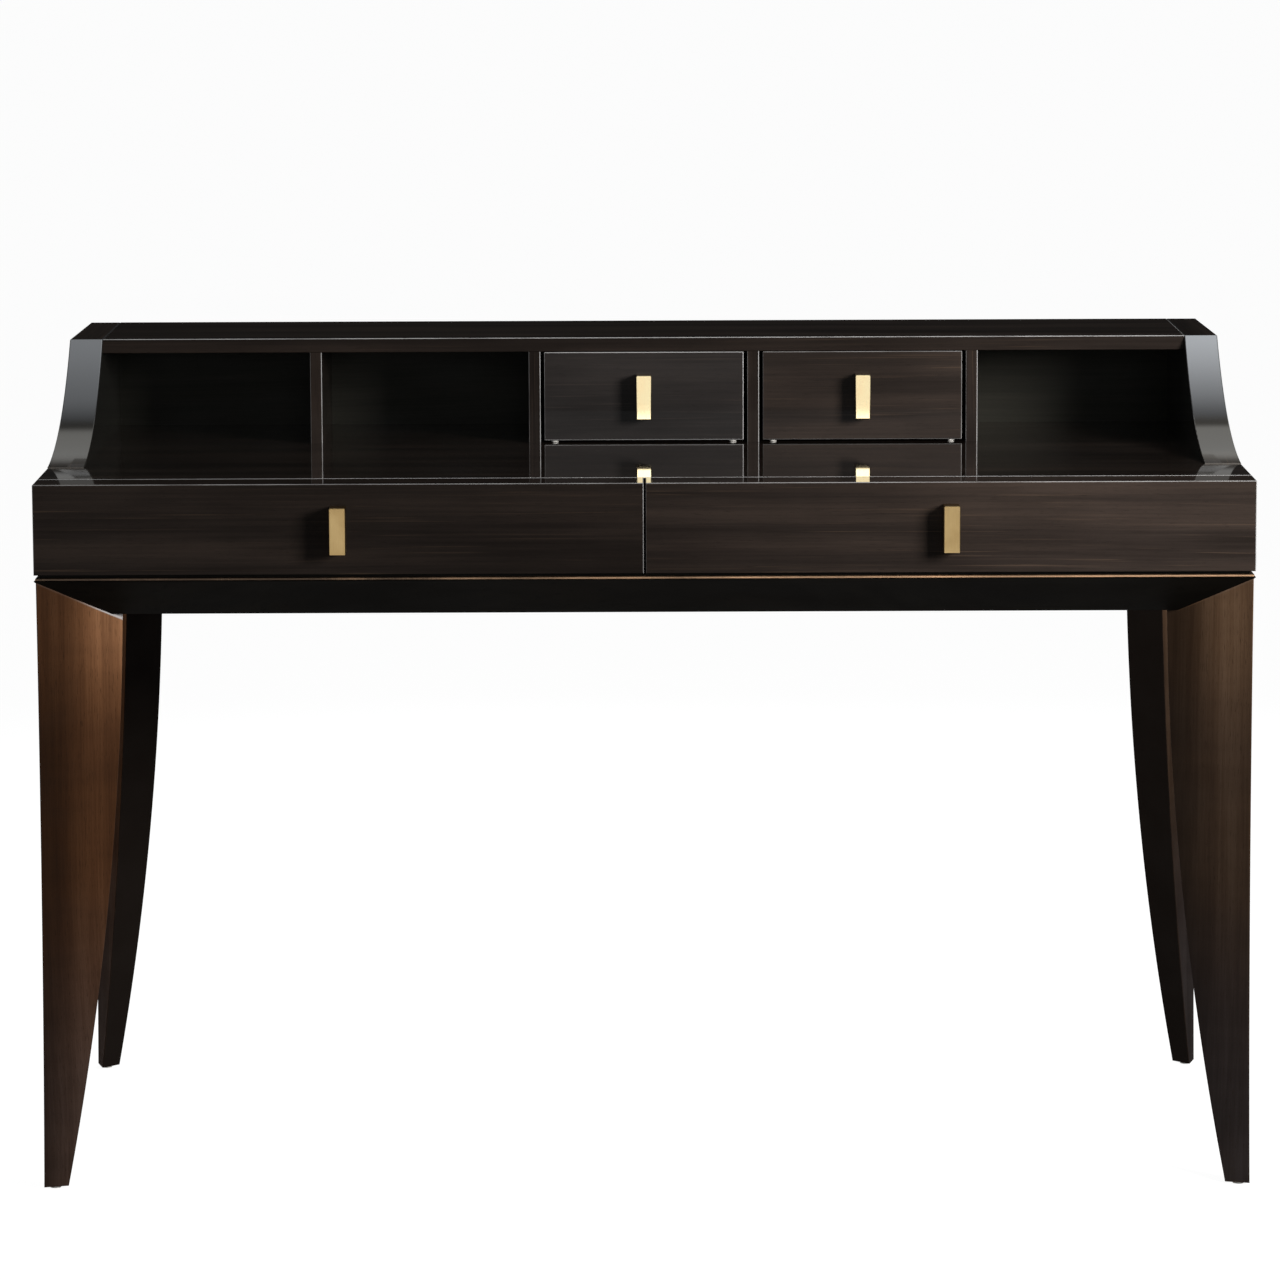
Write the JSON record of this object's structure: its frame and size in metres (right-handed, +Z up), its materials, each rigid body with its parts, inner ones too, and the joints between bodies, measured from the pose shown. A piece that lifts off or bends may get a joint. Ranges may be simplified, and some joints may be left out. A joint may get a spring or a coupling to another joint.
{
  "type": "writing desk",
  "caption": "Writing desk in dark gloss veneer with a low gallery of open bays and small drawers, wide case drawers, brass block pulls and tapered three-sided legs.",
  "frame": {"origin": "middle of the desk's footprint on the floor, pulls and feet included", "axes": "+Z up, front with the drawers towards -Y, +X to the right as seen from the front"},
  "size_m": [1.3016, 0.6428, 0.884],
  "materials": {
    "gloss_veneer": "mirror-gloss lacquer over dark streaked veneer",
    "dark_apron": "dark satin lacquer",
    "walnut": "satin-gloss walnut",
    "dark_board": "dark stained board",
    "drawer_wood": "oiled hardwood",
    "hardwood": "plain hardwood",
    "brass": "satin brass",
    "bronze": "satin bronze",
    "steel": "zinc plated",
    "nylon": "plain nylon"
  },
  "bodies": {
    "desk": {"desktop": "gloss_veneer", "case_side_left": "gloss_veneer", "case_side_right": "gloss_veneer", "case_back": "gloss_veneer", "case_bottom": "dark_board", "case_partition": "dark_board", "drawer_runners": "hardwood", "base_board": "dark_board", "bead": "bronze", "apron_front": "dark_apron", "apron_back": "dark_apron", "apron_left": "dark_apron", "apron_right": "dark_apron", "leg_front_left": "walnut", "leg_front_right": "walnut", "leg_rear_left": "walnut", "leg_rear_right": "walnut", "corner_blocks": "hardwood", "leg_bolts": "steel", "foot_glides": "nylon", "gallery_side_left": "gloss_veneer", "gallery_side_right": "gloss_veneer", "gallery_shelf": "gloss_veneer", "gallery_back": "gloss_veneer", "divider_1": "gloss_veneer", "divider_2": "gloss_veneer", "divider_3": "gloss_veneer", "divider_4": "gloss_veneer", "gallery_dowels": "hardwood"},
    "left_drawer": {"left_drawer_front": "gloss_veneer", "left_drawer_side_left": "drawer_wood", "left_drawer_side_right": "drawer_wood", "left_drawer_back": "drawer_wood", "left_drawer_bottom": "drawer_wood", "left_drawer_pull": "brass", "left_drawer_pull_screws": "steel"},
    "right_drawer": {"right_drawer_front": "gloss_veneer", "right_drawer_side_left": "drawer_wood", "right_drawer_side_right": "drawer_wood", "right_drawer_back": "drawer_wood", "right_drawer_bottom": "drawer_wood", "right_drawer_pull": "brass", "right_drawer_pull_screws": "steel"},
    "gallery_drawer_middle": {"gallery_drawer_middle_front": "gloss_veneer", "gallery_drawer_middle_side_left": "drawer_wood", "gallery_drawer_middle_side_right": "drawer_wood", "gallery_drawer_middle_back": "drawer_wood", "gallery_drawer_middle_bottom": "drawer_wood", "gallery_drawer_middle_pull": "brass", "gallery_drawer_middle_pull_screws": "steel", "gallery_drawer_middle_glides": "nylon"},
    "gallery_drawer_right": {"gallery_drawer_right_front": "gloss_veneer", "gallery_drawer_right_side_left": "drawer_wood", "gallery_drawer_right_side_right": "drawer_wood", "gallery_drawer_right_back": "drawer_wood", "gallery_drawer_right_bottom": "drawer_wood", "gallery_drawer_right_pull": "brass", "gallery_drawer_right_pull_screws": "steel", "gallery_drawer_right_glides": "nylon"}
  },
  "joints": [
    {"name": "left_drawer_slide", "type": "slide", "parent": "desk", "child": "left_drawer", "axis": [0, -1, 0], "range_m": [0, 0.35]},
    {"name": "right_drawer_slide", "type": "slide", "parent": "desk", "child": "right_drawer", "axis": [0, -1, 0], "range_m": [0, 0.35]},
    {"name": "gallery_drawer_middle_slide", "type": "slide", "parent": "desk", "child": "gallery_drawer_middle", "axis": [0, -1, 0], "range_m": [0, 0.15]},
    {"name": "gallery_drawer_right_slide", "type": "slide", "parent": "desk", "child": "gallery_drawer_right", "axis": [0, -1, 0], "range_m": [0, 0.15]}
  ]
}
